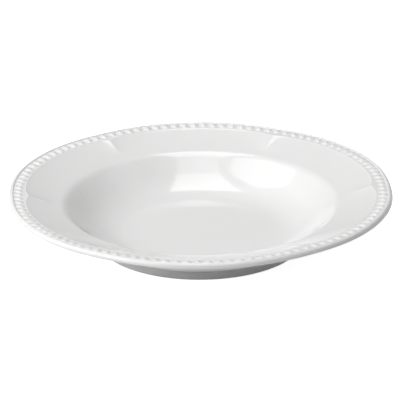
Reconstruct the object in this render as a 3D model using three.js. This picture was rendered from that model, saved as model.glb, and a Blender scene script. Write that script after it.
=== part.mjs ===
// Pasta bowl in white glazed hotelware: a coved well, a wide sloping rim in lobes with a beaded border, a
// low ridge at each crease between two lobes, and a round foot. The bowl is one piece of fired clay, split
// here into the parts that its maker names, which meet face to face.
// Millimetres, +Z up. The origin is on the table under the middle of the bowl, and one crease lies on +X.
import * as THREE from "three";

// Overall size and lobes
const RIM_DIAMETER = 285; // across two opposite lobes
const EDGE_HEIGHT = 40.4; // table to the top of the rolled edge
const LOBES = 6;
const CREASE_NOTCH = 1.4; // how far the edge draws in at a crease
const NOTCH_SPREAD = 13; // degrees either side of a crease

// Rolled edge and bead border
const EDGE_THICKNESS = 4.4;
const LAND_DROP = 0.8; // top of the edge down to the flat land that the beads stand on
const BEADS_PER_LOBE = 19;
const BEAD_LENGTH = 7; // along the radius
const BEAD_HEIGHT = 1.2;
const WEB_LENGTH = 5.6; // of the web that joins two beads
const WEB_HEIGHT = 0.35;
const BEAD_CLEARANCE = 0.35; // beads' outer ends to the rolled edge

// Rim panels: a raised border line and a ridge at each crease
const RIM_SLOPE = 14; // degrees, at the shoulder
const EDGE_SLOPE = 21; // degrees, where the panels reach the border line
const STEEPENING = 28; // width over which the slope grows towards the border line
const RIM_THICKNESS = 4.8;
const BORDER_HALF_WIDTH = 0.45;
const BORDER_HEIGHT = 0.3;
const CORNER_DRAW = 3.4; // how much further than the edge the border line turns in at a crease
const CORNER_SPREAD = 3.8; // degrees either side of a crease
const RIDGE_GAP = 5.4; // from the shoulder to where a crease ridge fades out
const RIDGE_SPREAD = 2.6; // degrees either side of a crease
const RIDGE_HEIGHT = 1.6; // above the rim's slope, at the point of the border line

// Well: mouth and heel are the corners of its section before they are rounded
const MOUTH_DIAMETER = 200.5;
const SHOULDER_RADIUS = 14;
const HEEL_DIAMETER = 150;
const COVE_RADIUS = 46;
const FLOOR_HEIGHT = 7.4;
const WALL_THICKNESS = 5.4;

// Foot
const FOOT_DIAMETER = 152.4; // at the table
const FOOT_FLARE = 0.6; // wider by this at its top, on each side
const FOOT_WIDTH = 6;
const FOOT_HEIGHT = 2.4;
const FOOT_ROUNDING = 0.5;
const FOOT_FILLET = 4; // where the well's outside turns down to the foot

// Facets
const TURN_STEPS = 72; // round a turned piece
const COVE_STEPS = 7; // along the well's cove, inside and outside
const SHOULDER_STEPS = 4; // along the shoulder, inside and outside
const FOOT_STEPS = 2; // along each rounded corner of the foot
const EDGE_STEPS = 7; // round the rolled edge
const PANEL_STEPS = 3; // from a ridge's end to the border line
const LOBE_STEPS = 10; // from a crease to the middle of a lobe
const CREASE_CROWDING = 1.6; // draws those steps towards the crease
const BEAD_COLUMNS = 4; // round the border, for each bead
const BEAD_FACETS = 4; // along a bead

const { degToRad, lerp } = THREE.MathUtils;
const point = (radius, height) => new THREE.Vector2(radius, height);

// Points on the arc that rounds the corner between two straight stretches of a section
function roundedCorner(before, corner, after, radius, steps) {
  const back = before.clone().sub(corner).normalize();
  const on = after.clone().sub(corner).normalize();
  const halfAngle = Math.acos(back.dot(on)) / 2;
  const centre = back.clone().add(on).normalize().multiplyScalar(radius / Math.sin(halfAngle)).add(corner);
  const start = back.clone().multiplyScalar(radius / Math.tan(halfAngle)).add(corner).sub(centre);
  const turn = Math.sign(back.cross(on)) * (2 * halfAngle - Math.PI);
  const pivot = point(0, 0);
  return Array.from({ length: steps + 1 }, (_, i) =>
    start.clone().rotateAround(pivot, (turn * i) / steps).add(centre),
  );
}

// Where two lines of a section meet, each given by a point and a direction
function meeting(p, alongP, q, alongQ) {
  const reach = q.clone().sub(p).cross(alongQ) / alongP.cross(alongQ);
  return alongP.clone().multiplyScalar(reach).add(p);
}

// A line's outer side at a distance from it, as one point on that side
function offsetPoint(p, along, distance) {
  return point(along.y, -along.x).normalize().multiplyScalar(distance).add(p);
}

// The point of a section's curve at a radius
function pointAtRadius(curve, radius) {
  const next = curve.findIndex((p) => p.x > radius);
  const [from, to] = [curve[next - 1], curve[next]];
  return from.clone().lerp(to, (radius - from.x) / (to.x - from.x));
}

// A turned piece from its closed section
function turned(section) {
  const closed = section[0].x === 0 ? section : [...section, section[0]];
  return new THREE.LatheGeometry(closed, TURN_STEPS).rotateX(Math.PI / 2);
}

// A closed ring lofted through one closed section at each angle: as many points in each, anticlockwise
function loftedRing(angles, sectionAt) {
  const sections = angles.map(sectionAt);
  const size = sections[0].length;
  const positions = sections.flatMap((section, column) =>
    section.flatMap(({ x, y }) => [x * Math.cos(angles[column]), x * Math.sin(angles[column]), y]),
  );
  const faces = [];
  for (let column = 0; column < angles.length; column++) {
    const next = (column + 1) % angles.length;
    for (let row = 0; row < size; row++) {
      const after = (row + 1) % size;
      const [a, b] = [column * size + row, column * size + after];
      const [c, d] = [next * size + row, next * size + after];
      faces.push(a, d, b, a, c, d);
    }
  }
  const geometry = new THREE.BufferGeometry();
  geometry.setAttribute("position", new THREE.Float32BufferAttribute(positions, 3));
  geometry.setIndex(faces);
  geometry.computeVertexNormals();
  return geometry;
}

// Lobed outline, measured by the angle from the nearest crease
const lobeAngle = 360 / LOBES;
const creaseOffset = (angle) => {
  const turn = THREE.MathUtils.euclideanModulo(THREE.MathUtils.radToDeg(angle), lobeAngle);
  return Math.min(turn, lobeAngle - turn);
};
const drawnIn = (offset) => CREASE_NOTCH * Math.exp(-((offset / NOTCH_SPREAD) ** 2));
const edgeRadius = (offset) => RIM_DIAMETER / 2 - drawnIn(offset);

// Radii of the border, from the edge inwards
const roll = EDGE_THICKNESS / 2;
const landHeight = EDGE_HEIGHT - LAND_DROP;
const rollStart = Math.acos((roll - LAND_DROP) / roll); // from the top of the roll, inwards
const landRadius = (offset) => edgeRadius(offset) - roll - roll * Math.sin(rollStart);
const beadRadius = (offset) => landRadius(offset) - BEAD_CLEARANCE - BEAD_LENGTH / 2;
const cornerDraw = (offset) => CORNER_DRAW * Math.exp(-offset / CORNER_SPREAD);
const borderRadius = (offset) =>
  beadRadius(offset) - BEAD_LENGTH / 2 - BORDER_HALF_WIDTH - cornerDraw(offset);

// Rim slope: a dish that steepens towards the border and reaches the land at the middle of a lobe
const slope = Math.tan(degToRad(RIM_SLOPE));
const edgeSlope = Math.tan(degToRad(EDGE_SLOPE));
const lobeMiddle = lobeAngle / 2;
const dishHeight = (radius) => {
  const inward = borderRadius(lobeMiddle) - radius;
  const steeper = Math.min(inward, STEEPENING);
  const extra = (edgeSlope - slope) * (steeper - steeper ** 2 / (2 * STEEPENING));
  return landHeight - inward * slope - extra;
};

// Section of the well and rim, inside
const mouth = point(MOUTH_DIAMETER / 2, dishHeight(MOUTH_DIAMETER / 2));
const heel = point(HEEL_DIAMETER / 2, FLOOR_HEIGHT);
const border = point(borderRadius(lobeMiddle), landHeight);
const wallLine = mouth.clone().sub(heel);
const rimLine = point(1, slope);
const wallAngle = wallLine.angle();
const shoulderReach = SHOULDER_RADIUS * Math.tan((wallAngle - degToRad(RIM_SLOPE)) / 2);
const coveLimit = (wallLine.length() - shoulderReach) / Math.tan(wallAngle / 2);
const coveRadius = Math.min(COVE_RADIUS, coveLimit); // a cove ends below the shoulder
const cove = roundedCorner(point(0, FLOOR_HEIGHT), heel, mouth, coveRadius, COVE_STEPS);
const shoulder = roundedCorner(heel, mouth, mouth.clone().add(rimLine), SHOULDER_RADIUS, SHOULDER_STEPS);

// The same section outside, one thickness away
const level = point(1, 0);
const outerWall = offsetPoint(heel, wallLine, WALL_THICKNESS);
const rimChord = border.clone().sub(mouth);
const outerRim = offsetPoint(mouth, rimChord, RIM_THICKNESS);
const outerFloor = point(0, FLOOR_HEIGHT - WALL_THICKNESS);
const outerHeel = meeting(outerWall, wallLine, outerFloor, level);
const outerMouth = meeting(outerWall, wallLine, outerRim, rimChord);
const outerBorder = meeting(outerRim, rimChord, border, point(0, 1));
const outerCove = roundedCorner(outerFloor, outerHeel, outerMouth, coveRadius + WALL_THICKNESS, COVE_STEPS);
const outerShoulder = roundedCorner(
  outerHeel,
  outerMouth,
  outerBorder,
  SHOULDER_RADIUS + RIM_THICKNESS,
  SHOULDER_STEPS,
);

// A crease ridge falls from the point of the border line to the rim near the shoulder
const ridgeEnd = shoulder.at(-1).x + RIDGE_GAP;
const cusp = borderRadius(0);
const ridgeFall = RIDGE_HEIGHT / (cusp - ridgeEnd);
const ridgeHeight = (radius, offset) => ridgeFall * (radius - ridgeEnd) * Math.exp(-offset / RIDGE_SPREAD);

// The rim and the well meet in a level plane, where the outside of the wall turns into the shoulder
const jointHeight = outerShoulder[0].y;
const inside = [...cove, ...shoulder];
const above = inside.findIndex((p) => p.y > jointHeight);
const [under, over] = [inside[above - 1], inside[above]];
const innerJoint = under.clone().lerp(over, (jointHeight - under.y) / (over.y - under.y));
innerJoint.y = jointHeight;

// The outside of the cove ends above the foot, where a fillet turns it down
const footTop = point(FOOT_DIAMETER / 2 + FOOT_FLARE, FOOT_HEIGHT);
const footCorner = pointAtRadius(outerCove, footTop.x);
const coveAboveFoot = outerCove.filter((p) => p.x > footTop.x + FOOT_FILLET && p.y < jointHeight);
const filletRadius = Math.min(FOOT_FILLET, footCorner.y - footTop.y); // no taller than the foot's side
const footFillet = roundedCorner(footTop, footCorner, coveAboveFoot[0], filletRadius, FOOT_STEPS);

function wellGeometry() {
  const floor = point(0, FLOOR_HEIGHT);
  const base = point(0, FOOT_HEIGHT);
  const innerSide = [floor, ...inside.slice(0, above), innerJoint];
  const outerSide = [base, footTop, ...footFillet, ...coveAboveFoot, outerShoulder[0]];
  return turned([...outerSide, ...innerSide.reverse()]);
}

function rimGeometry() {
  const fromCrease = Array.from(
    { length: LOBE_STEPS },
    (_, i) => lobeMiddle * (i / LOBE_STEPS) ** CREASE_CROWDING,
  );
  const toNextCrease = fromCrease.map((offset) => lobeAngle - offset).reverse();
  const lobe = [...fromCrease, lobeMiddle, ...toNextCrease.slice(0, -1)];
  const lobeTurns = Array.from({ length: LOBES }, (_, i) => i * lobeAngle);
  const angles = lobeTurns.flatMap((turn) => lobe.map((offset) => degToRad(turn + offset)));
  return loftedRing(angles, (angle) => {
    const offset = creaseOffset(angle);
    const borderAt = borderRadius(offset);
    const panel = Array.from({ length: PANEL_STEPS + 1 }, (_, i) => {
      const radius = lerp(ridgeEnd, borderAt - BORDER_HALF_WIDTH, i / PANEL_STEPS);
      return point(radius, dishHeight(radius) + ridgeHeight(radius, offset));
    });
    const line = [
      point(borderAt, landHeight + BORDER_HEIGHT),
      point(borderAt + BORDER_HALF_WIDTH, landHeight),
    ];
    const edgeCentre = point(edgeRadius(offset) - roll, EDGE_HEIGHT - roll);
    const edge = Array.from({ length: EDGE_STEPS + 1 }, (_, i) => {
      const fromTop = lerp(-rollStart, Math.PI, i / EDGE_STEPS);
      return point(roll * Math.sin(fromTop), roll * Math.cos(fromTop)).add(edgeCentre);
    });
    const underside = [outerBorder, ...outerShoulder.toReversed()];
    return [innerJoint, ...inside.slice(above), ...panel, ...line, ...edge, ...underside].reverse();
  });
}

function beadBorderGeometry() {
  const columns = LOBES * BEADS_PER_LOBE * BEAD_COLUMNS;
  const angles = Array.from({ length: columns }, (_, i) => (2 * Math.PI * i) / columns);
  return loftedRing(angles, (angle) => {
    const swell = Math.abs(Math.cos((angle * LOBES * BEADS_PER_LOBE) / 2));
    const halfLength = lerp(WEB_LENGTH, BEAD_LENGTH, swell) / 2;
    const height = lerp(WEB_HEIGHT, BEAD_HEIGHT, swell);
    const middle = beadRadius(creaseOffset(angle));
    return Array.from({ length: BEAD_FACETS + 1 }, (_, i) => {
      const turn = (Math.PI * i) / BEAD_FACETS;
      const rise = i % BEAD_FACETS === 0 ? 0 : height * Math.sin(turn);
      return point(middle + halfLength * Math.cos(turn), landHeight + rise);
    });
  });
}

function footRingGeometry() {
  const outer = point(FOOT_DIAMETER / 2, 0);
  const inner = point(FOOT_DIAMETER / 2 - FOOT_WIDTH, 0);
  const innerTop = point(inner.x - FOOT_FLARE, FOOT_HEIGHT);
  const innerToe = roundedCorner(innerTop, inner, outer, FOOT_ROUNDING, FOOT_STEPS);
  const outerToe = roundedCorner(inner, outer, footTop, FOOT_ROUNDING, FOOT_STEPS);
  return turned([innerTop, ...innerToe, ...outerToe, footTop]);
}

// Materials: a neutral white glaze, and the bare fired clay of the foot
const glaze = new THREE.MeshStandardMaterial({ color: 0xf3f3f1, roughness: 0.12, metalness: 0 });
const bareClay = new THREE.MeshStandardMaterial({ color: 0xe9e5dc, roughness: 0.8, metalness: 0 });

function named(name, geometry, material) {
  const mesh = new THREE.Mesh(geometry, material);
  mesh.name = name;
  return mesh;
}

const bowl = new THREE.Group();
bowl.add(
  named("well", wellGeometry(), glaze),
  named("rim", rimGeometry(), glaze),
  named("bead_border", beadBorderGeometry(), glaze),
  named("foot_ring", footRingGeometry(), bareClay),
);

export default bowl;
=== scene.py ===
"""Pasta bowl in white glazed hotelware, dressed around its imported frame.

A seamless glazed body with a lobed rim, a border of beads, a bare foot, and the studio that it stands in.
Metres, +Z up, one crease on +X.
"""

import math
from typing import NamedTuple

import bpy
from mathutils import Matrix, Vector


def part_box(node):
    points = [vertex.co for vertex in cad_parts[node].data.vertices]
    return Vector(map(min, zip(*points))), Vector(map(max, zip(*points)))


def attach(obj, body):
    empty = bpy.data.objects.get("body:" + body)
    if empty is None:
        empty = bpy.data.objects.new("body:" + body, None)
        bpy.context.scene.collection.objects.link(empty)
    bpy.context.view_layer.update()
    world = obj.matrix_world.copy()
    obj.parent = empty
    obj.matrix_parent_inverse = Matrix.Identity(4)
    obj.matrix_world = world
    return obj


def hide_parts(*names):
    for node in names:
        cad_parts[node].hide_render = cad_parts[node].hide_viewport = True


bl_info = {
    "name": "Pasta bowl",
    "version": (1, 0, 0),
    "blender": (4, 5, 0),
    "location": "3D View > Sidebar > Pasta bowl",
    "description": "Makes a glazed pasta bowl with a lobed and beaded rim, and its studio",
    "category": "Add Mesh",
}

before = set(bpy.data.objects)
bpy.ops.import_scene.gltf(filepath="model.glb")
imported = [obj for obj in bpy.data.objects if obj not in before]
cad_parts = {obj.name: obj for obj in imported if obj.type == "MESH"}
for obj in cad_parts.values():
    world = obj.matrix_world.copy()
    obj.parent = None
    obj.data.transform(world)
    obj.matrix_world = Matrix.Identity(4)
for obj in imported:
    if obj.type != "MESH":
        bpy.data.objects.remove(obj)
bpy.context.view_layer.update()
RIM_LOW, RIM_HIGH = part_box("rim")
BEADS_LOW, BEADS_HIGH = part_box("bead_border")
_, FOOT_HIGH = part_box("foot_ring")

MM = 0.001
BODY_COLUMNS = 480  # steps of the turn in each mesh
BEAD_COLUMNS = 14
FOOT_COLUMNS = 240


def length(label, description, default):
    """A length that a user may change, in metres"""
    return bpy.props.FloatProperty(
        name=label,
        description=description,
        default=default,
        min=0.0,
        precision=5,
        subtype="DISTANCE",
        unit="LENGTH",
    )


def angle(label, description, degrees):
    """An angle that a user may change, given in degrees"""
    return bpy.props.FloatProperty(
        name=label, description=description, default=math.radians(degrees), subtype="ANGLE", unit="ROTATION"
    )


def count(label, description, default):
    """A whole number that a user may change"""
    return bpy.props.IntProperty(name=label, description=description, default=default, min=1)


def share(label, description, default, top=1.0):
    """A plain factor that a user may change"""
    return bpy.props.FloatProperty(name=label, description=description, default=default, min=0.0, max=top)


def colour(label, description, default):
    """A linear colour that a user may change"""
    return bpy.props.FloatVectorProperty(
        name=label, description=description, default=default, size=3, min=0.0, max=1.0, subtype="COLOR"
    )


class BowlRimSettings(bpy.types.PropertyGroup):
    """Sizes of the lobed rim and its relief"""

    diameter: length("Diameter", "Across two opposite lobes", RIM_HIGH.y - RIM_LOW.y)
    edge_height: length("Edge height", "Table to the top of the rolled edge", 40.4 * MM)
    edge_thickness: length("Edge thickness", "Through the rolled edge", 4.0 * MM)
    edge_rounding: length("Edge rounding", "Over the outer side of the rolled edge", 2.7 * MM)
    land_drop: length("Land drop", "Top of the edge down to the land that the beads stand on", 0.65 * MM)
    land_slope: angle("Land slope", "Of the land, which falls towards the well", 6.0)
    slope: angle("Slope", "Of the panels at the shoulder", 13.2)
    edge_slope: angle("Edge slope", "Of the panels where they reach the border line", 18.8)
    steepening: length("Steepening", "Width over which the slope grows towards the border line", 30 * MM)
    thickness: length("Thickness", "Of the rim behind its panels", 4.8 * MM)
    lobes: count("Lobes", "Lobes round the rim, with a crease between two of them", 6)
    notch: length("Crease notch", "How far the edge draws in at a crease", 1.4 * MM)
    notch_spread: angle("Notch spread", "Either side of a crease", 13.0)
    line_inset: length("Border line inset", "Edge to the fine line inside the beads", 11.8 * MM)
    line_width: length("Border line width", "Of the fine line inside the beads", 1.4 * MM)
    line_height: length("Border line height", "Of the fine line inside the beads", 0.12 * MM)
    corner_draw: length(
        "Corner draw", "How much further than the edge the line turns in at a crease", 2.9 * MM
    )
    corner_spread: angle("Corner spread", "Either side of a crease", 2.9)
    corner_rounding: angle("Corner rounding", "Softens the point of the border line at a crease", 0.4)
    ridge_gap: length("Ridge gap", "From the shoulder to where a crease ridge fades out", 5.4 * MM)


class BowlWellSettings(bpy.types.PropertyGroup):
    """Sizes of the well and the foot under it"""

    mouth: length("Mouth", "Diameter where wall and rim would meet without the shoulder", 200.5 * MM)
    shoulder: length("Shoulder radius", "Rounds the mouth", 14 * MM)
    heel: length("Heel", "Diameter where wall and floor would meet without the cove", 150 * MM)
    cove: length("Cove radius", "Rounds the heel", 46 * MM)
    floor: length("Floor height", "Table to the floor of the well", 7.4 * MM)
    wall: length("Wall", "Thickness of the wall", 5.4 * MM)
    foot: length("Foot", "Diameter of the foot at the table", 152.4 * MM)
    foot_width: length("Foot width", "Of the ring that stands on the table", 6 * MM)
    foot_flare: length("Foot flare", "How much wider the ring is at its top, on each side", 0.6 * MM)
    foot_height: length("Foot height", "Table to the recessed base", FOOT_HIGH.z)
    foot_fillet: length("Foot fillet", "Where the wall turns down to the foot", 4 * MM)
    glaze_line: length("Glaze line", "Height at which the glaze is wiped off the foot", 0.6 * MM)


class BowlBeadSettings(bpy.types.PropertyGroup):
    """Sizes of the beads"""

    per_lobe: count("Beads per lobe", "Beads from one crease to the next", 19)
    bead_length: length("Bead length", "Along the radius", 6.8 * MM)
    bead_width: length("Bead width", "Round the rim", 5.5 * MM)
    squareness: share(
        "Bead squareness", "2 makes an oval outline, more makes the sides straighter", 2.3, top=8.0
    )
    bead_height: length("Bead height", "Above the land", 0.8 * (BEADS_HIGH.z - BEADS_LOW.z))
    clearance: length("Clearance", "Outer ends of the beads to the rolled edge", 0.3 * MM)


class BowlFinishSettings(bpy.types.PropertyGroup):
    """Colours and gloss"""

    glaze: colour("Glaze", "White glaze over the body", (0.85, 0.85, 0.845))
    # Pooled glaze: a deeper tone where the glaze lies thicker, which also paints shade into the recesses
    pooled_and_shaded_glaze: colour("Pooled glaze and shade", "Where the glaze lies thicker, with painted shade", (0.80, 0.805, 0.805))
    gloss_roughness: share("Glaze roughness", "Of the fired glaze", 0.06)
    bare_clay: colour("Bare clay", "Fired clay of the wiped foot", (0.76, 0.735, 0.69))


class BowlStudioSettings(bpy.types.PropertyGroup):
    """Light and floor"""

    floor: colour("Floor", "Pale floor as the bowl meets it", (0.8, 0.8, 0.8))
    backdrop: share("Backdrop", "Pale grey of the backdrop behind the bowl, as the glaze mirrors it", 0.53)
    ambient: share("Ambient", "Even light from all round", 0.09, top=10.0)
    overhead: share("Overhead softbox", "Radiance of the long strip above the bowl", 3.05, top=50.0)
    near: share("Near softbox", "Radiance of the dimmer end of the strip, towards the camera", 1.5, top=50.0)
    key: share("Key softbox", "Radiance of the large softbox on the left", 2.14, top=50.0)
    front: share("Front softbox", "Radiance of the softbox at the front left", 2.75, top=50.0)
    fill: share("Fill softbox", "Radiance of the softbox on the right", 0.61, top=50.0)


class SectionPoint(NamedTuple):
    """A point of a turned section, with its shares in what happens at a crease and in the pooled glaze with
    its painted shade
    """

    radius: float
    height: float
    notch: float = 0.0  # drawn in with the edge at a crease
    corner: float = 0.0  # drawn in with the border line at a crease
    pool: float = 0.0  # lies where the glaze pools, and paints shade into that recess


def lerp(a, b, t):
    """Value at t between a and b"""
    return a + (b - a) * t


def rounded_corner(before, corner, after, radius, steps):
    """Points on the arc that rounds the corner between two straight stretches of a section"""
    back = (before - corner).normalized()
    on = (after - corner).normalized()
    half_angle = back.angle(on) / 2
    centre = corner + (back + on).normalized() * (radius / math.sin(half_angle))
    start = corner + back * (radius / math.tan(half_angle)) - centre
    turn = math.copysign(1.0, back.cross(on)) * (2 * half_angle - math.pi)
    return [centre + Matrix.Rotation(turn * i / steps, 2) @ start for i in range(steps + 1)]


def arc(centre, radius, start, end, steps):
    """Points on an arc of a section, from one angle to another in degrees"""
    turns = [math.radians(lerp(start, end, i / steps)) for i in range(steps + 1)]
    return [centre + radius * Vector((math.cos(turn), math.sin(turn))) for turn in turns]


def meeting(p, along_p, q, along_q):
    """Where two lines of a section meet, each given by a point and a direction"""
    return p + along_p * ((q - p).cross(along_q) / along_p.cross(along_q))


def offset_outwards(p, along, distance):
    """A point at a distance from a line, on its outer side"""
    return p + Vector((along.y, -along.x)).normalized() * distance


def points_at(places, **shares):
    """Section points at places that all have the same shares"""
    return [SectionPoint(place[0], place[1], **shares) for place in places]


class BowlForm:
    """The radii and heights that the body's stretches and the beads share"""

    def __init__(self, rim, well, bead):
        self.edge = rim.diameter / 2
        self.belly = rim.edge_height - rim.edge_rounding
        self.under_rounding = rim.edge_thickness - rim.edge_rounding
        self.roll_bottom = Vector((self.edge - self.under_rounding, self.belly - self.under_rounding))
        self.land_height = rim.edge_height - rim.land_drop
        self.land_end = self.edge - rim.edge_rounding - rim.land_drop
        self.land_slope = rim.land_slope
        self.bead_middle = self.land_end - bead.clearance - bead.bead_length / 2
        self.line = self.edge - rim.line_inset
        self.border = Vector((self.line, self.land_at(self.line)))
        self.tan_slope = math.tan(rim.slope)
        self.tan_edge = math.tan(rim.edge_slope)
        self.steepening = rim.steepening
        self.mouth = Vector((well.mouth / 2, self.dish_height(well.mouth / 2)))
        self.heel = Vector((well.heel / 2, well.floor))
        self.foot_top = Vector((well.foot / 2 + well.foot_flare, well.foot_height))

    def land_at(self, radius):
        """Height of the land that the beads stand on"""
        return self.land_height - (self.land_end - radius) * math.tan(self.land_slope)

    def dish_height(self, radius):
        """Height of the rim's dish, which steepens and reaches the land at the border line"""
        inward = self.line - radius
        steeper = min(inward, self.steepening)
        extra = (self.tan_edge - self.tan_slope) * (steeper - steeper**2 / (2 * self.steepening))
        return self.land_at(self.line) - inward * self.tan_slope - extra


def foot_sides(form, well):
    """Recessed base from the axis, and the foot's sides down to the glaze line"""
    base = well.foot_height
    base_radii = (0, 15 * MM, 30 * MM, 45 * MM, 58 * MM)
    base_rounding = 1.1 * MM
    glaze_rounding = 0.25 * MM
    inner_toe = well.foot / 2 - well.foot_width
    inner_top = inner_toe - well.foot_flare
    inner_corner = Vector((inner_top, base))
    line_rise = well.glaze_line / base
    inner_glaze = Vector((lerp(inner_toe, inner_top, line_rise), well.glaze_line))
    outer_glaze = Vector((lerp(well.foot / 2, form.foot_top.x, line_rise), well.glaze_line))
    base_end = rounded_corner(Vector((0, base)), inner_corner, inner_glaze, base_rounding, steps=6)
    return [
        *points_at((radius, base) for radius in base_radii),
        # The inner corner of the recessed base is marked for pooled glaze and painted shade
        *points_at(base_end, pool=1.0),
        *points_at(rounded_corner(inner_corner, inner_glaze, outer_glaze, glaze_rounding, steps=4)),
        *points_at(rounded_corner(inner_glaze, outer_glaze, form.foot_top, glaze_rounding, steps=4)),
    ]


def outside(form, rim, well):
    """Outside of the wall, from the fillet above the foot, then the rim's underside out to the roll"""
    wall_line = form.mouth - form.heel
    rim_line = form.border - form.mouth
    on_wall = offset_outwards(form.heel, wall_line, well.wall)
    on_rim = offset_outwards(form.mouth, rim_line, rim.thickness)
    on_floor = Vector((0, well.floor - well.wall))
    heel = meeting(on_wall, wall_line, on_floor, Vector((1, 0)))
    mouth = meeting(on_wall, wall_line, on_rim, rim_line)
    border = meeting(on_rim, rim_line, form.border, Vector((0, 1)))

    cove = rounded_corner(on_floor, heel, mouth, well.cove + well.wall, steps=60)
    over = next(i for i, p in enumerate(cove) if p.x > form.foot_top.x)
    before, after = cove[over - 1], cove[over]
    foot_corner = before.lerp(after, (form.foot_top.x - before.x) / (after.x - before.x))
    beyond = next(i for i, p in enumerate(cove) if p.x > form.foot_top.x + well.foot_fillet)
    fillet_radius = min(well.foot_fillet, foot_corner.y - form.foot_top.y)
    fillet = rounded_corner(form.foot_top, foot_corner, cove[beyond], fillet_radius, steps=8)
    shoulder = rounded_corner(heel, mouth, border, well.shoulder + rim.thickness, steps=10)
    section = points_at([*fillet, *cove[beyond::2], *shoulder])

    border_rounding = 25 * MM
    under = rounded_corner(shoulder[-1], border, form.roll_bottom, border_rounding, steps=5)
    section += points_at([shoulder[-1].lerp(under[0], 0.5)])
    width = form.roll_bottom.x - under[0].x
    for p in (*under, under[-1].lerp(form.roll_bottom, 0.5)):
        section.append(SectionPoint(p.x, p.y, notch=max(0.0, (p.x - under[0].x) / width)))
    return section


def rolled_edge(form, rim):
    """Rolled edge from below, over the top, into a small fillet, and the land to the middle of the beads"""
    top_middle = form.edge - rim.edge_rounding
    under_middle = form.edge - form.under_rounding
    roll = [
        *arc(Vector((under_middle, form.belly)), form.under_rounding, -90, 0, steps=6),
        *arc(Vector((top_middle, form.belly)), rim.edge_rounding, 0, 90, steps=12)[1:],
        *arc(Vector((top_middle, form.land_height)), rim.land_drop, 90, 160, steps=5)[1:],
    ]
    land_edge = Vector((form.land_end, form.land_height))
    land_rounding = 0.45 * MM
    fillet = rounded_corner(roll[-1], land_edge, form.border, land_rounding, steps=4)
    bead_place = (form.bead_middle, form.land_at(form.bead_middle))
    return [
        *points_at(roll, notch=1.0),
        # The fillet into the land and the land between the beads are marked for pooled glaze and painted
        # shade
        *points_at(fillet, notch=1.0, pool=1.0),
        *points_at([bead_place], notch=1.0, corner=0.5, pool=1.0),
    ]


def border_and_panel(form, rim, ridge_end):
    """Raised border line, and the panel in to where the crease ridge has faded out"""
    section = []
    half = rim.line_width / 2
    line_steps = 8
    for i in range(line_steps + 1):
        across = lerp(1.0, -1.0, i / line_steps)
        rise = rim.line_height * math.cos(across * math.pi / 2) ** 2
        radius = form.line + across * half
        ground = min(form.land_at(radius), form.dish_height(radius))
        section.append(SectionPoint(radius, ground + rise, notch=1.0, corner=1.0))
    panel_steps = 14
    crowding = 1.5
    for i in range(1, panel_steps + 1):
        t = (1 - i / panel_steps) ** crowding
        radius = lerp(ridge_end, form.line - half, t)
        section.append(SectionPoint(radius, form.dish_height(radius), notch=t, corner=t * (2 - t)))
    return section


def inside(form, well, shoulder, ridge_end):
    """Shoulder, wall, cove and floor, in to the axis"""
    cove = rounded_corner(Vector((0, well.floor)), form.heel, form.mouth, well.cove, steps=30)
    faded = Vector((ridge_end, form.dish_height(ridge_end)))
    floor_radii = (45 * MM, 32 * MM, 18 * MM, 6 * MM, 0)
    return [
        *points_at([shoulder[-1].lerp(faded, 0.5), *reversed(shoulder)]),
        *points_at([shoulder[0].lerp(cove[-1], 0.5), *reversed(cove)]),
        *points_at((radius, well.floor) for radius in floor_radii),
    ]


def body_section(form, rim, well):
    """The glazed body's section, from the axis below, round the edge, to the axis above"""
    panel_line = Vector((1, form.tan_slope))
    shoulder = rounded_corner(form.heel, form.mouth, form.mouth + panel_line, well.shoulder, steps=16)
    ridge_end = shoulder[-1].x + rim.ridge_gap
    return [
        *foot_sides(form, well),
        *outside(form, rim, well),
        *rolled_edge(form, rim),
        *border_and_panel(form, rim, ridge_end),
        *inside(form, well, shoulder, ridge_end),
    ]


def foot_section(well):
    """The bare foot's closed section: what stands below the glaze line, set in by the glaze's thickness"""
    glaze = 0.12 * MM
    rounding = 0.5 * MM
    under_glaze = 0.3 * MM
    inner = well.foot / 2 - well.foot_width
    top = well.glaze_line + under_glaze
    rise = top / well.foot_height
    inner_top = Vector((inner - well.foot_flare * rise + glaze, top))
    outer_top = Vector((well.foot / 2 + well.foot_flare * rise - glaze, top))
    inner_toe = Vector((inner + glaze, 0))
    outer_toe = Vector((well.foot / 2 - glaze, 0))
    return points_at(
        [
            inner_top,
            *rounded_corner(inner_top, inner_toe, outer_toe, rounding, steps=5),
            inner_toe.lerp(outer_toe, 0.35),
            inner_toe.lerp(outer_toe, 0.65),
            *rounded_corner(inner_toe, outer_toe, outer_top, rounding, steps=5),
            outer_top,
            inner_top,
        ]
    )


def bead_section():
    """Half a bead's section at unit size: a full crown with a soft fillet, closed below the land"""
    crown = [(0.0, 1.0), (0.25, 0.94), (0.47, 0.77), (0.67, 0.53), (0.85, 0.27), (1.0, 0.10), (1.12, 0.025)]
    skirt = [(1.22, 0.0), (1.22, -0.5), (0.0, -0.5)]
    return points_at(reversed(crown + skirt))


def add_node(tree, kind, inputs=None, **settings):
    """A node with its settings, and each input given as a value or as the socket that feeds it"""
    node = tree.nodes.new(kind)
    for name, value in settings.items():
        setattr(node, name, value)
    for key, value in (inputs or {}).items():
        if isinstance(value, bpy.types.NodeSocket):
            tree.links.new(value, node.inputs[key])
        else:
            node.inputs[key].default_value = value
    return node


def maths(tree, operation, *values):
    """One Math node's result"""
    return add_node(tree, "ShaderNodeMath", dict(enumerate(values)), operation=operation).outputs[0]


def new_geometry_tree(name, inputs):
    """A geometry node tree with its group input and output, and one socket for each named input"""
    tree = bpy.data.node_groups.new(name, "GeometryNodeTree")
    tree.is_modifier = True
    tree.interface.new_socket("Geometry", in_out="INPUT", socket_type="NodeSocketGeometry")
    tree.interface.new_socket("Geometry", in_out="OUTPUT", socket_type="NodeSocketGeometry")
    for label, kind in inputs:
        tree.interface.new_socket(label, in_out="INPUT", socket_type=kind)
    return tree, tree.nodes.new("NodeGroupInput").outputs, tree.nodes.new("NodeGroupOutput").inputs


FLOAT, INT, MATERIAL = "NodeSocketFloat", "NodeSocketInt", "NodeSocketMaterial"


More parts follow.
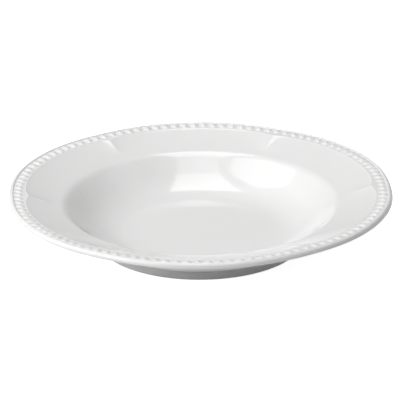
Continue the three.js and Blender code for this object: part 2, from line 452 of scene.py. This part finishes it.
def section_sample(tree, section, row, name):
    """A section point's own number at a row"""
    named = add_node(tree, "GeometryNodeInputNamedAttribute", {"Name": name}, data_type="FLOAT")
    return add_node(
        tree,
        "GeometryNodeSampleIndex",
        {"Geometry": section, "Value": named.outputs["Attribute"], "Index": row},
        data_type="FLOAT",
    ).outputs["Value"]


def turning_grid(tree, section, columns):
    """A grid with a row for each point of the section and a column for each step of the turn:
    its mesh, and the row and the share of a turn at each vertex"""
    rows = add_node(tree, "GeometryNodeAttributeDomainSize", {"Geometry": section}).outputs["Point Count"]
    around = maths(tree, "ADD", columns, 1.0)
    grid = add_node(tree, "GeometryNodeMeshGrid", {"Vertices X": rows, "Vertices Y": around})
    index = tree.nodes.new("GeometryNodeInputIndex").outputs[0]
    row = maths(tree, "FLOOR", maths(tree, "DIVIDE", maths(tree, "ADD", index, 0.5), around))
    column = maths(tree, "SUBTRACT", index, maths(tree, "MULTIPLY", row, around))
    return grid.outputs["Mesh"], row, maths(tree, "DIVIDE", column, columns)


def crease_offset(tree, turn, lobes):
    """Angle from the nearest crease"""
    lobe_turn = maths(tree, "MULTIPLY", turn, lobes)
    wrapped = maths(tree, "ARCTAN2", maths(tree, "SINE", lobe_turn), maths(tree, "COSINE", lobe_turn))
    return maths(tree, "DIVIDE", maths(tree, "ABSOLUTE", wrapped), lobes)


def bell(tree, offset, spread):
    """Smooth bell round a crease"""
    scaled = maths(tree, "DIVIDE", offset, spread)
    square = maths(tree, "MULTIPLY", scaled, scaled)
    return maths(tree, "EXPONENT", maths(tree, "MULTIPLY", square, -1.0))


def peak(tree, offset, spread, rounding):
    """Pointed peak on a crease, its tip rounded"""
    square = maths(tree, "MULTIPLY", offset, offset)
    rounded = maths(tree, "SQRT", maths(tree, "ADD", square, maths(tree, "MULTIPLY", rounding, rounding)))
    fall = maths(tree, "DIVIDE", maths(tree, "SUBTRACT", rounded, rounding), spread)
    return maths(tree, "EXPONENT", maths(tree, "MULTIPLY", fall, -1.0))


def placed(tree, mesh, radius, turn, height):
    """The mesh set at a radius, a turn and a height, its seam and poles closed, its faces outwards"""
    x = maths(tree, "MULTIPLY", radius, maths(tree, "COSINE", turn))
    y = maths(tree, "MULTIPLY", radius, maths(tree, "SINE", turn))
    position = add_node(tree, "ShaderNodeCombineXYZ", {0: x, 1: y, 2: height}).outputs[0]
    moved = add_node(tree, "GeometryNodeSetPosition", {"Geometry": mesh, "Position": position}).outputs[0]
    closed = add_node(tree, "GeometryNodeMergeByDistance", {"Geometry": moved, "Distance": 1e-6}).outputs[0]
    return add_node(tree, "GeometryNodeFlipFaces", {"Mesh": closed}).outputs[0]


def finished(tree, mesh, material, out):
    """Smooth shading, real geometry and material, at the end of a tree"""
    smooth = add_node(tree, "GeometryNodeSetShadeSmooth", {"Geometry": mesh}).outputs[0]
    real = add_node(tree, "GeometryNodeRealizeInstances", {"Geometry": smooth}).outputs[0]
    painted = add_node(tree, "GeometryNodeSetMaterial", {"Geometry": real, "Material": material}).outputs[0]
    tree.links.new(painted, out["Geometry"])


def lobed_tree():
    """Turns a section round the axis and draws it in at each crease, with more columns near the creases"""
    tree, given, out = new_geometry_tree(
        "Lobed body",
        [
            ("Columns", INT),
            ("Crease crowding", FLOAT),
            ("Lobes", INT),
            ("Notch", FLOAT),
            ("Notch spread", FLOAT),
            ("Corner draw", FLOAT),
            ("Corner spread", FLOAT),
            ("Corner rounding", FLOAT),
            ("Material", MATERIAL),
        ],
    )
    section = given["Geometry"]
    grid, row, around = turning_grid(tree, section, given["Columns"])
    even = maths(tree, "MULTIPLY", around, math.tau)
    wave = maths(tree, "SINE", maths(tree, "MULTIPLY", even, given["Lobes"]))
    drawn = maths(tree, "DIVIDE", maths(tree, "MULTIPLY", wave, given["Crease crowding"]), given["Lobes"])
    turn = maths(tree, "SUBTRACT", even, drawn)
    offset = crease_offset(tree, turn, given["Lobes"])

    notch = maths(tree, "MULTIPLY", given["Notch"], bell(tree, offset, given["Notch spread"]))
    point = peak(tree, offset, given["Corner spread"], given["Corner rounding"])
    corner = maths(tree, "MULTIPLY", given["Corner draw"], point)
    pull = maths(
        tree,
        "ADD",
        maths(tree, "MULTIPLY", notch, section_sample(tree, section, row, "notch")),
        maths(tree, "MULTIPLY", corner, section_sample(tree, section, row, "corner")),
    )
    radius = maths(tree, "SUBTRACT", section_sample(tree, section, row, "radius"), pull)
    height = section_sample(tree, section, row, "height")
    # Stores each row's share of pooled glaze and painted shade
    pooled_and_shaded = add_node(
        tree,
        "GeometryNodeStoreNamedAttribute",
        {"Geometry": grid, "Name": "glaze_pool_and_shade", "Value": section_sample(tree, section, row, "pool")},
        data_type="FLOAT",
        domain="POINT",
    ).outputs[0]
    body = placed(tree, pooled_and_shaded, radius, turn, height)
    finished(tree, body, given["Material"], out)
    return tree


def turned_tree():
    """Turns a section round the axis"""
    tree, given, out = new_geometry_tree("Turned form", [("Columns", INT), ("Material", MATERIAL)])
    section = given["Geometry"]
    grid, row, around = turning_grid(tree, section, given["Columns"])
    turn = maths(tree, "MULTIPLY", around, math.tau)
    radius = section_sample(tree, section, row, "radius")
    height = section_sample(tree, section, row, "height")
    finished(tree, placed(tree, grid, radius, turn, height), given["Material"], out)
    return tree


def squared_reach(tree, turn, squareness):
    """How far a unit oval with straightened sides reaches in a direction"""
    sides = [
        maths(tree, "POWER", maths(tree, "ABSOLUTE", maths(tree, part, turn)), squareness)
        for part in ("COSINE", "SINE")
    ]
    return maths(tree, "POWER", maths(tree, "ADD", *sides), maths(tree, "DIVIDE", -1.0, squareness))


def bead_tree():
    """Turns the bead's section into an oval bead and sets it round the lobed border"""
    tree, given, out = new_geometry_tree(
        "Bead border",
        [
            ("Beads", INT),
            ("Columns", INT),
            ("Border radius", FLOAT),
            ("Land height", FLOAT),
            ("Land slope", FLOAT),
            ("Bead length", FLOAT),
            ("Bead width", FLOAT),
            ("Bead height", FLOAT),
            ("Squareness", FLOAT),
            ("Lobes", INT),
            ("Notch", FLOAT),
            ("Notch spread", FLOAT),
            ("Material", MATERIAL),
        ],
    )
    section = given["Geometry"]
    grid, row, around = turning_grid(tree, section, given["Columns"])
    turn = maths(tree, "MULTIPLY", around, math.tau)
    reach = squared_reach(tree, turn, given["Squareness"])
    radius = maths(tree, "MULTIPLY", section_sample(tree, section, row, "radius"), reach)
    height = section_sample(tree, section, row, "height")
    unit_bead = placed(tree, grid, radius, turn, height)
    size = add_node(
        tree,
        "ShaderNodeCombineXYZ",
        {
            0: maths(tree, "MULTIPLY", given["Bead length"], 0.5),
            1: maths(tree, "MULTIPLY", given["Bead width"], 0.5),
            2: given["Bead height"],
        },
    ).outputs[0]
    bead = add_node(tree, "GeometryNodeTransform", {"Geometry": unit_bead, "Scale": size}).outputs[0]

    index = tree.nodes.new("GeometryNodeInputIndex").outputs[0]
    place = maths(tree, "MULTIPLY", maths(tree, "DIVIDE", index, given["Beads"]), math.tau)
    offset = crease_offset(tree, place, given["Lobes"])
    notch = maths(tree, "MULTIPLY", given["Notch"], bell(tree, offset, given["Notch spread"]))
    out_to = maths(tree, "SUBTRACT", given["Border radius"], notch)
    x = maths(tree, "MULTIPLY", out_to, maths(tree, "COSINE", place))
    y = maths(tree, "MULTIPLY", out_to, maths(tree, "SINE", place))
    spot = add_node(tree, "ShaderNodeCombineXYZ", {0: x, 1: y, 2: given["Land height"]}).outputs[0]
    points = add_node(tree, "GeometryNodePoints", {"Count": given["Beads"], "Position": spot}).outputs[0]
    tilt = maths(tree, "MULTIPLY", given["Land slope"], -1.0)
    facing = add_node(tree, "ShaderNodeCombineXYZ", {1: tilt, 2: place}).outputs[0]
    row_of_beads = add_node(
        tree, "GeometryNodeInstanceOnPoints", {"Points": points, "Instance": bead, "Rotation": facing}
    ).outputs[0]
    finished(tree, row_of_beads, given["Material"], out)
    return tree


def section_object(name, section):
    """An object that holds a section's points, for a tree to turn"""
    mesh = bpy.data.meshes.new(name + "_section")
    points = [(p.radius, 0.0, p.height) for p in section]
    mesh.from_pydata(points, [(i, i + 1) for i in range(len(points) - 1)], [])
    for field in SectionPoint._fields:
        values = mesh.attributes.new(field, "FLOAT", "POINT")
        values.data.foreach_set("value", [getattr(p, field) for p in section])
    made = bpy.data.objects.new(name, mesh)
    bpy.context.scene.collection.objects.link(made)
    return made


def grown(piece, tree, values):
    """Runs a tree on a piece and keeps the result as its plain mesh"""
    modifier = piece.modifiers.new(tree.name, "NODES")
    modifier.node_group = tree
    for item in tree.interface.items_tree:
        if item.item_type == "SOCKET" and item.in_out == "INPUT" and item.name in values:
            modifier[item.identifier] = values[item.name]
    section = piece.data
    evaluated = piece.evaluated_get(bpy.context.evaluated_depsgraph_get())
    mesh = bpy.data.meshes.new_from_object(evaluated)
    if not mesh.polygons:
        raise RuntimeError(f"{piece.name} came out empty")
    piece.modifiers.remove(modifier)
    piece.data = mesh
    mesh.name = piece.name
    bpy.data.meshes.remove(section)
    return piece


def new_material(name):
    """A material's tree with its Principled BSDF"""
    material = bpy.data.materials.new(name)
    material.use_nodes = True
    return material, material.node_tree, material.node_tree.nodes["Principled BSDF"]


def fired_surface():
    """Shader group for fired ware: soft drift of tone, and fine grain, in the piece's own space"""
    name = "Fired surface"
    group = bpy.data.node_groups.get(name)
    if group:
        return group
    group = bpy.data.node_groups.new(name, "ShaderNodeTree")
    for label in ("Drift scale", "Grain scale"):
        group.interface.new_socket(label, in_out="INPUT", socket_type=FLOAT)
    for label in ("Drift", "Grain"):
        group.interface.new_socket(label, in_out="OUTPUT", socket_type=FLOAT)
    given = group.nodes.new("NodeGroupInput").outputs
    out = group.nodes.new("NodeGroupOutput").inputs
    where = group.nodes.new("ShaderNodeTexCoord").outputs["Object"]
    for label, detail in (("Drift", 2.0), ("Grain", 4.0)):
        scale = given[label + " scale"]
        noise = add_node(group, "ShaderNodeTexNoise", {"Vector": where, "Scale": scale, "Detail": detail})
        group.links.new(noise.outputs["Fac"], out[label])
    return group


def mix_colours(tree, factor, first, second):
    """Mix of two colours"""
    mix = add_node(tree, "ShaderNodeMix", {0: factor}, data_type="RGBA")
    for socket, value in ((mix.inputs[6], first), (mix.inputs[7], second)):
        if isinstance(value, bpy.types.NodeSocket):
            tree.links.new(value, socket)
        else:
            socket.default_value = (*value, 1.0)
    return mix.outputs[2]


NOISE_RANGE = (0.3, 0.7)  # holds nearly all values of a noise texture


def spread(tree, value, low, high, to_low, to_high):
    """A value's range mapped to another"""
    return add_node(
        tree,
        "ShaderNodeMapRange",
        {"Value": value, "From Min": low, "From Max": high, "To Min": to_low, "To Max": to_high},
    ).outputs["Result"]


def glaze_material(finish):
    """White glaze: a little deeper in tone where it pools, which also paints shade into the recesses, with a
    slow drift in tone and gloss
    """
    drift_depth = 0.22
    pool_shade_depth = 0.75
    smoothest, dullest = finish.gloss_roughness * 0.8, finish.gloss_roughness * 1.3
    found = bpy.data.materials.get("White glaze")
    if found:
        return found
    material, tree, shader = new_material("White glaze")
    surface = add_node(tree, "ShaderNodeGroup", node_tree=fired_surface())
    surface.inputs["Drift scale"].default_value = 38.0
    surface.inputs["Grain scale"].default_value = 420.0
    # Where the glaze pools the tone deepens, and this paints shade into the recesses
    pool = add_node(tree, "ShaderNodeAttribute", attribute_name="glaze_pool_and_shade").outputs["Fac"]
    drift = spread(tree, surface.outputs["Drift"], *NOISE_RANGE, 0.0, drift_depth)
    pooled_and_shaded = maths(tree, "MULTIPLY", pool, pool_shade_depth)
    depth = maths(tree, "MINIMUM", maths(tree, "ADD", drift, pooled_and_shaded), 1.0)
    tone = mix_colours(tree, depth, finish.glaze, finish.pooled_and_shaded_glaze)
    tree.links.new(tone, shader.inputs["Base Color"])
    gloss = spread(tree, surface.outputs["Grain"], *NOISE_RANGE, smoothest, dullest)
    tree.links.new(gloss, shader.inputs["Roughness"])
    shader.inputs["IOR"].default_value = 1.52
    waves = add_node(
        tree, "ShaderNodeBump", {"Height": surface.outputs["Drift"], "Strength": 0.02, "Distance": 1 * MM}
    ).outputs["Normal"]
    tree.links.new(waves, shader.inputs["Normal"])
    return material


def bare_clay_material(finish):
    """Fired clay without glaze: matt, finely grained, a little mottled"""
    mottle_range = (0.35, 0.65)
    mottle_tone = 0.86
    smoothest, dullest = 0.7, 0.9
    material, tree, shader = new_material("Bare clay")
    surface = add_node(tree, "ShaderNodeGroup", node_tree=fired_surface())
    surface.inputs["Drift scale"].default_value = 90.0
    surface.inputs["Grain scale"].default_value = 1600.0
    darker = [c * mottle_tone for c in finish.bare_clay]
    mottle = spread(tree, surface.outputs["Drift"], *mottle_range, 0.0, 1.0)
    tree.links.new(mix_colours(tree, mottle, finish.bare_clay, darker), shader.inputs["Base Color"])
    roughness = spread(tree, surface.outputs["Grain"], *NOISE_RANGE, smoothest, dullest)
    tree.links.new(roughness, shader.inputs["Roughness"])
    grain = add_node(
        tree, "ShaderNodeBump", {"Height": surface.outputs["Grain"], "Strength": 0.35, "Distance": 0.2 * MM}
    ).outputs["Normal"]
    tree.links.new(grain, shader.inputs["Normal"])
    return material


def seen_directly(tree, mirrored=1.0):
    """1 for rays from the camera, and a share for mirrored and transmitted ones"""
    path = tree.nodes.new("ShaderNodeLightPath").outputs
    bent = maths(tree, "MAXIMUM", path["Is Glossy Ray"], path["Is Transmission Ray"])
    return maths(tree, "MAXIMUM", path["Is Camera Ray"], maths(tree, "MULTIPLY", bent, mirrored))


class PASTA_BOWL_OT_glazed_body(bpy.types.Operator):
    """Make the seamless glazed body: foot sides, well, and lobed rim with its relief"""

    bl_idname = "pasta_bowl.glazed_body"
    bl_label = "Glazed body"

    def execute(self, context):
        scene = context.scene
        rim, well = scene.bowl_rim, scene.bowl_well
        form = BowlForm(rim, well, scene.bowl_bead)
        body = section_object("glazed_body", body_section(form, rim, well))
        grown(
            body,
            lobed_tree(),
            {
                "Columns": BODY_COLUMNS,
                "Crease crowding": 0.6,
                "Lobes": rim.lobes,
                "Notch": rim.notch,
                "Notch spread": rim.notch_spread,
                "Corner draw": rim.corner_draw,
                "Corner spread": rim.corner_spread,
                "Corner rounding": rim.corner_rounding,
                "Material": glaze_material(scene.bowl_finish),
            },
        )
        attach(body, "root")
        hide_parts("well", "rim")
        return {"FINISHED"}


class PASTA_BOWL_OT_bead_border(bpy.types.Operator):
    """Make the beads that stand on the rim's land"""

    bl_idname = "pasta_bowl.bead_border"
    bl_label = "Bead border"

    def execute(self, context):
        scene = context.scene
        rim, bead = scene.bowl_rim, scene.bowl_bead
        form = BowlForm(rim, scene.bowl_well, bead)
        beads = section_object("beads", bead_section())
        grown(
            beads,
            bead_tree(),
            {
                "Beads": rim.lobes * bead.per_lobe,
                "Columns": BEAD_COLUMNS,
                "Border radius": form.bead_middle,
                "Land height": form.land_at(form.bead_middle),
                "Land slope": rim.land_slope,
                "Bead length": bead.bead_length,
                "Bead width": bead.bead_width,
                "Bead height": bead.bead_height,
                "Squareness": bead.squareness,
                "Lobes": rim.lobes,
                "Notch": rim.notch,
                "Notch spread": rim.notch_spread,
                "Material": glaze_material(scene.bowl_finish),
            },
        )
        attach(beads, "root")
        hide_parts("bead_border")
        return {"FINISHED"}


class PASTA_BOWL_OT_bare_foot(bpy.types.Operator):
    """Make the wiped foot that stands on the table"""

    bl_idname = "pasta_bowl.bare_foot"
    bl_label = "Bare foot"

    def execute(self, context):
        scene = context.scene
        foot = section_object("bare_foot", foot_section(scene.bowl_well))
        clay = bare_clay_material(scene.bowl_finish)
        grown(foot, turned_tree(), {"Columns": FOOT_COLUMNS, "Material": clay})
        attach(foot, "root")
        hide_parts("foot_ring")
        return {"FINISHED"}


class PASTA_BOWL_OT_studio(bpy.types.Operator):
    """Make the floor, the even light, the softboxes and the camera"""

    bl_idname = "pasta_bowl.studio"
    bl_label = "Studio"

    def execute(self, context):
        scene = context.scene
        studio = scene.bowl_studio
        scene.view_settings.view_transform = "Standard"
        self.floor(scene, studio)
        self.world(scene, studio)
        self.softboxes(scene, studio)
        self.camera(scene)
        return {"FINISHED"}

    @staticmethod
    def floor(scene, studio):
        """A wide pale floor that shows white and keeps the bowl's shadow"""
        mesh = bpy.data.meshes.new("studio_floor")
        reach = 12.0
        corners = [(-reach, -reach, 0), (reach, -reach, 0), (reach, reach, 0), (-reach, reach, 0)]
        mesh.from_pydata(corners, [], [(0, 1, 2, 3)])
        floor = bpy.data.objects.new("studio_floor", mesh)
        scene.collection.objects.link(floor)
        material, tree, shader = new_material("Studio floor")
        shader.inputs["Base Color"].default_value = (*studio.floor, 1.0)
        shader.inputs["Roughness"].default_value = 0.9
        shader.inputs["Specular IOR Level"].default_value = 0.0
        whitening = 0.86
        mirrored_share = 0.7
        strength = maths(tree, "MULTIPLY", seen_directly(tree, mirrored_share), whitening)
        glow = add_node(tree, "ShaderNodeEmission", {"Strength": strength}).outputs[0]
        both = add_node(tree, "ShaderNodeAddShader", {0: shader.outputs[0], 1: glow}).outputs[0]
        tree.links.new(both, tree.nodes["Material Output"].inputs["Surface"])
        mesh.materials.append(material)

    @staticmethod
    def world(scene, studio):
        """White all round where it is seen, pale grey behind the bowl, and an even grey light on it"""
        world = bpy.data.worlds.new("Studio")
        world.use_nodes = True
        tree = world.node_tree
        light = tree.nodes["Background"]
        light.inputs["Color"].default_value = (1.0, 1.0, 1.0, 1.0)
        white_until, grey_from = 0.4, 0.7
        way = tree.nodes.new("ShaderNodeTexCoord").outputs["Generated"]
        behind = add_node(tree, "ShaderNodeSeparateXYZ", {"Vector": way}).outputs["Y"]
        seen = spread(tree, behind, white_until, grey_from, 1.0, studio.backdrop)
        strength = spread(tree, seen_directly(tree), 0.0, 1.0, studio.ambient, seen)
        tree.links.new(strength, light.inputs["Strength"])
        scene.world = world

    @staticmethod
    def softboxes(scene, studio):
        """Flat lamps of even radiance, seen only in reflections: place, aim, width and depth of each"""
        bowl = (0.0, 0.0, 0.03)
        for name, place, aim, width, depth, radiance in (
            ("overhead_softbox", (0.01, 0.30, 1.098), (0.01, 0.435, 0.0), 0.40, 0.87, studio.overhead),
            ("near_softbox", (0.01, -0.40, 1.04), (0.01, -0.33, 0.0), 0.40, 0.50, studio.near),
            ("key_softbox", (-1.00, -0.105, 0.93), bowl, 1.4, 1.6, studio.key),
            ("front_softbox", (-0.92, -0.92, 0.78), bowl, 0.7, 0.7, studio.front),
            ("fill_softbox", (1.06, 0.0, 1.09), bowl, 1.0, 0.8, studio.fill),
        ):
            lamp = bpy.data.lights.new(name, "AREA")
            lamp.shape = "RECTANGLE"
            lamp.size = width
            lamp.size_y = depth
            lamp.energy = math.pi * width * depth * radiance
            box = bpy.data.objects.new(name, lamp)
            box.location = place
            box.rotation_euler = (Vector(aim) - Vector(place)).to_track_quat("-Z", "Y").to_euler()
            box.visible_camera = False
            scene.collection.objects.link(box)

    @staticmethod
    def camera(scene):
        """The photograph's viewpoint: a long lens, a little above the rim"""
        focus = Vector((0.0, 0.0, 38.2 * MM))
        distance = 2157 * MM
        elevation = math.radians(21.78)
        azimuth = math.radians(3.6)
        tilt = math.radians(0.39)
        back = Vector(
            (
                -math.cos(elevation) * math.sin(azimuth),
                -math.cos(elevation) * math.cos(azimuth),
                math.sin(elevation),
            )
        )
        lens = bpy.data.cameras.new("camera")
        lens.sensor_width = 36.0
        lens.lens = 263.4
        lens.shift_x = -0.0012
        lens.shift_y = -0.022
        lens.clip_end = 100.0
        camera = bpy.data.objects.new("camera", lens)
        camera.location = focus + back * distance
        turn = (-back).to_track_quat("-Z", "Y").to_matrix() @ Matrix.Rotation(-tilt, 3, "Z")
        camera.rotation_euler = turn.to_euler()
        scene.collection.objects.link(camera)
        scene.camera = camera


class PASTA_BOWL_PT_panel(bpy.types.Panel):
    """Sizes, finishes and steps of the pasta bowl"""

    bl_idname = "PASTA_BOWL_PT_panel"
    bl_label = "Pasta bowl"
    bl_space_type = "VIEW_3D"
    bl_region_type = "UI"
    bl_category = "Pasta bowl"

    def draw(self, context):
        layout = self.layout
        for _, holder in SETTINGS:
            settings = getattr(context.scene, holder)
            box = layout.box()
            for field in settings.__annotations__:
                box.prop(settings, field)
        for operator in STEPS:
            layout.operator(operator.bl_idname)


SETTINGS = (
    (BowlRimSettings, "bowl_rim"),
    (BowlWellSettings, "bowl_well"),
    (BowlBeadSettings, "bowl_bead"),
    (BowlFinishSettings, "bowl_finish"),
    (BowlStudioSettings, "bowl_studio"),
)
STEPS = (
    PASTA_BOWL_OT_glazed_body,
    PASTA_BOWL_OT_bead_border,
    PASTA_BOWL_OT_bare_foot,
    PASTA_BOWL_OT_studio,
)


def register():
    """Registers the settings, the steps and the panel"""
    for group, holder in SETTINGS:
        bpy.utils.register_class(group)
        setattr(bpy.types.Scene, holder, bpy.props.PointerProperty(type=group))
    for step in STEPS:
        bpy.utils.register_class(step)
    bpy.utils.register_class(PASTA_BOWL_PT_panel)


def unregister():
    """Takes back what register() added"""
    bpy.utils.unregister_class(PASTA_BOWL_PT_panel)
    for step in reversed(STEPS):
        bpy.utils.unregister_class(step)
    for group, holder in reversed(SETTINGS):
        delattr(bpy.types.Scene, holder)
        bpy.utils.unregister_class(group)


def main():
    """Makes the pieces and the studio"""
    register()
    bpy.ops.pasta_bowl.studio()
    bpy.ops.pasta_bowl.glazed_body()
    bpy.ops.pasta_bowl.bead_border()
    bpy.ops.pasta_bowl.bare_foot()


if __name__ == "__main__":
    main()
